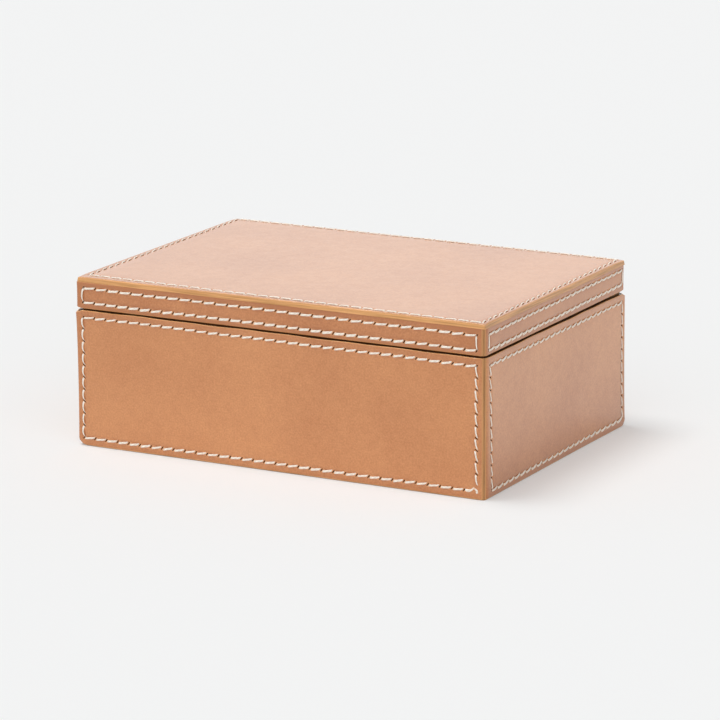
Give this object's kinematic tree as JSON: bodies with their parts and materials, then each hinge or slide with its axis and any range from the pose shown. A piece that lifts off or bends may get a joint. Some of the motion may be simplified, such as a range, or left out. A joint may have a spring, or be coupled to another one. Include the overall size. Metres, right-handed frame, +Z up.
{
  "type": "leather box",
  "caption": "Low rectangular keepsake box covered in stitched natural leather, with a lift-off lid that sits over an inner lip.",
  "frame": {"origin": "on the standing surface, under the middle of the base", "axes": "+X along the front to the right, -Y out of the front, +Z up"},
  "size_m": [0.229, 0.161, 0.0873],
  "materials": {
    "tan_leather": "natural vegetable-tanned, smooth, satin",
    "edge_leather": "burnished raw edge",
    "suede": "napped suede",
    "core_board": "sanded fibreboard",
    "cream_thread": "waxed linen thread"
  },
  "bodies": {
    "box": {"base_cover": "edge_leather", "floor_board": "core_board", "front_board": "core_board", "right_board": "core_board", "back_board": "core_board", "left_board": "core_board", "front_rim": "edge_leather", "right_rim": "edge_leather", "back_rim": "edge_leather", "left_rim": "edge_leather", "front_lip": "core_board", "right_lip": "core_board", "back_lip": "core_board", "left_lip": "core_board", "front_lining": "suede", "right_lining": "suede", "back_lining": "suede", "left_lining": "suede", "front_stitches": "cream_thread", "right_stitches": "cream_thread", "back_stitches": "cream_thread", "left_stitches": "cream_thread", "floor_pad": "suede", "front_left_leather": "tan_leather", "right_back_leather": "tan_leather"},
    "lid": {"lid_top_board": "core_board", "lid_top_leather": "tan_leather", "lid_lining": "suede", "lid_top_stitches": "cream_thread", "lid_front_board": "core_board", "lid_right_board": "core_board", "lid_back_board": "core_board", "lid_left_board": "core_board", "lid_front_rim": "edge_leather", "lid_right_rim": "edge_leather", "lid_back_rim": "edge_leather", "lid_left_rim": "edge_leather", "lid_front_lining": "suede", "lid_right_lining": "suede", "lid_back_lining": "suede", "lid_left_lining": "suede", "lid_front_stitches": "cream_thread", "lid_right_stitches": "cream_thread", "lid_back_stitches": "cream_thread", "lid_left_stitches": "cream_thread", "lid_front_left_leather": "tan_leather", "lid_right_back_leather": "tan_leather"}
  },
  "joints": [
    {"name": "lid_lift", "type": "slide", "parent": "box", "child": "lid", "axis": [0, 0, 1], "range_m": [0, 0.12]}
  ]
}
